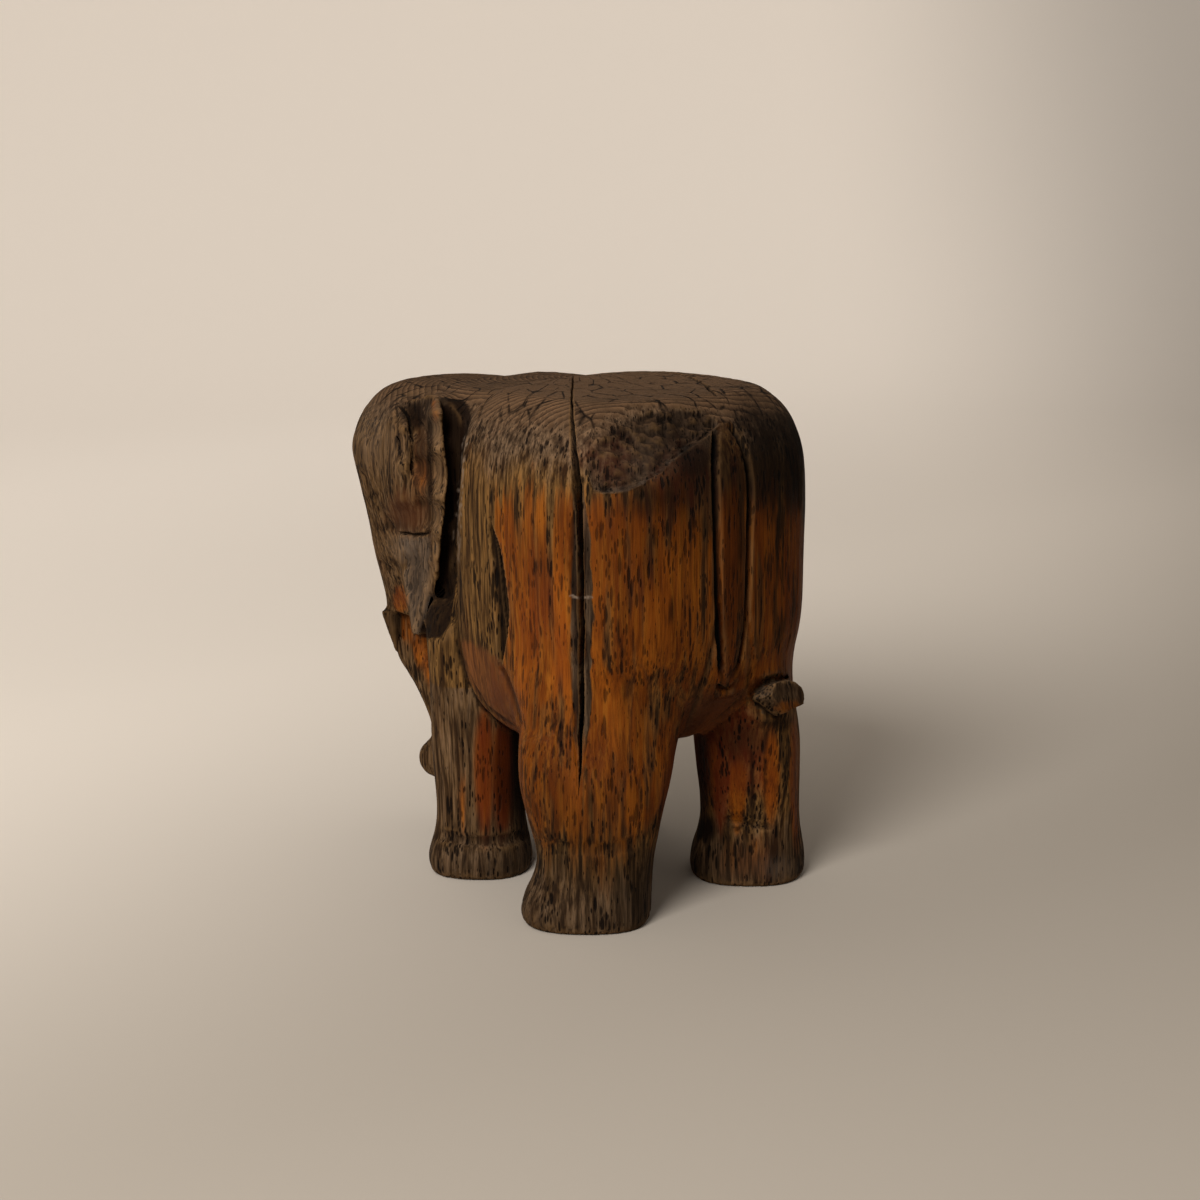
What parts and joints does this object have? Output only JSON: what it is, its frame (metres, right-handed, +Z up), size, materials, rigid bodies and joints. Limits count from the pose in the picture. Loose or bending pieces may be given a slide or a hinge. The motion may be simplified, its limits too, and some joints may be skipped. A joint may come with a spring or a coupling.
{
  "type": "carved elephant stool",
  "caption": "Low stool carved from one upright log as a standing elephant with a flat seat, cupped ears, stout legs, hanging trunk and a tail down the rump.",
  "frame": {"origin": "centre of the footprint of the bounding box, on the floor under the feet", "axes": "+Z up, the head looks along -X, the left side is -Y"},
  "size_m": [0.4431, 0.2906, 0.42],
  "materials": {
    "flank_wood": "dry, waxed and worn",
    "weathered_wood": "dry, grey-brown and rough"
  },
  "bodies": {
    "root": {"body": "flank_wood", "head": "weathered_wood", "trunk": "weathered_wood", "left_ear": "weathered_wood", "right_ear": "weathered_wood", "left_tusk": "weathered_wood", "right_tusk": "weathered_wood", "front_left_leg": "flank_wood", "front_right_leg": "flank_wood", "hind_left_leg": "flank_wood", "hind_right_leg": "flank_wood", "tail": "flank_wood", "tail_tuft": "weathered_wood"}
  },
  "joints": []
}
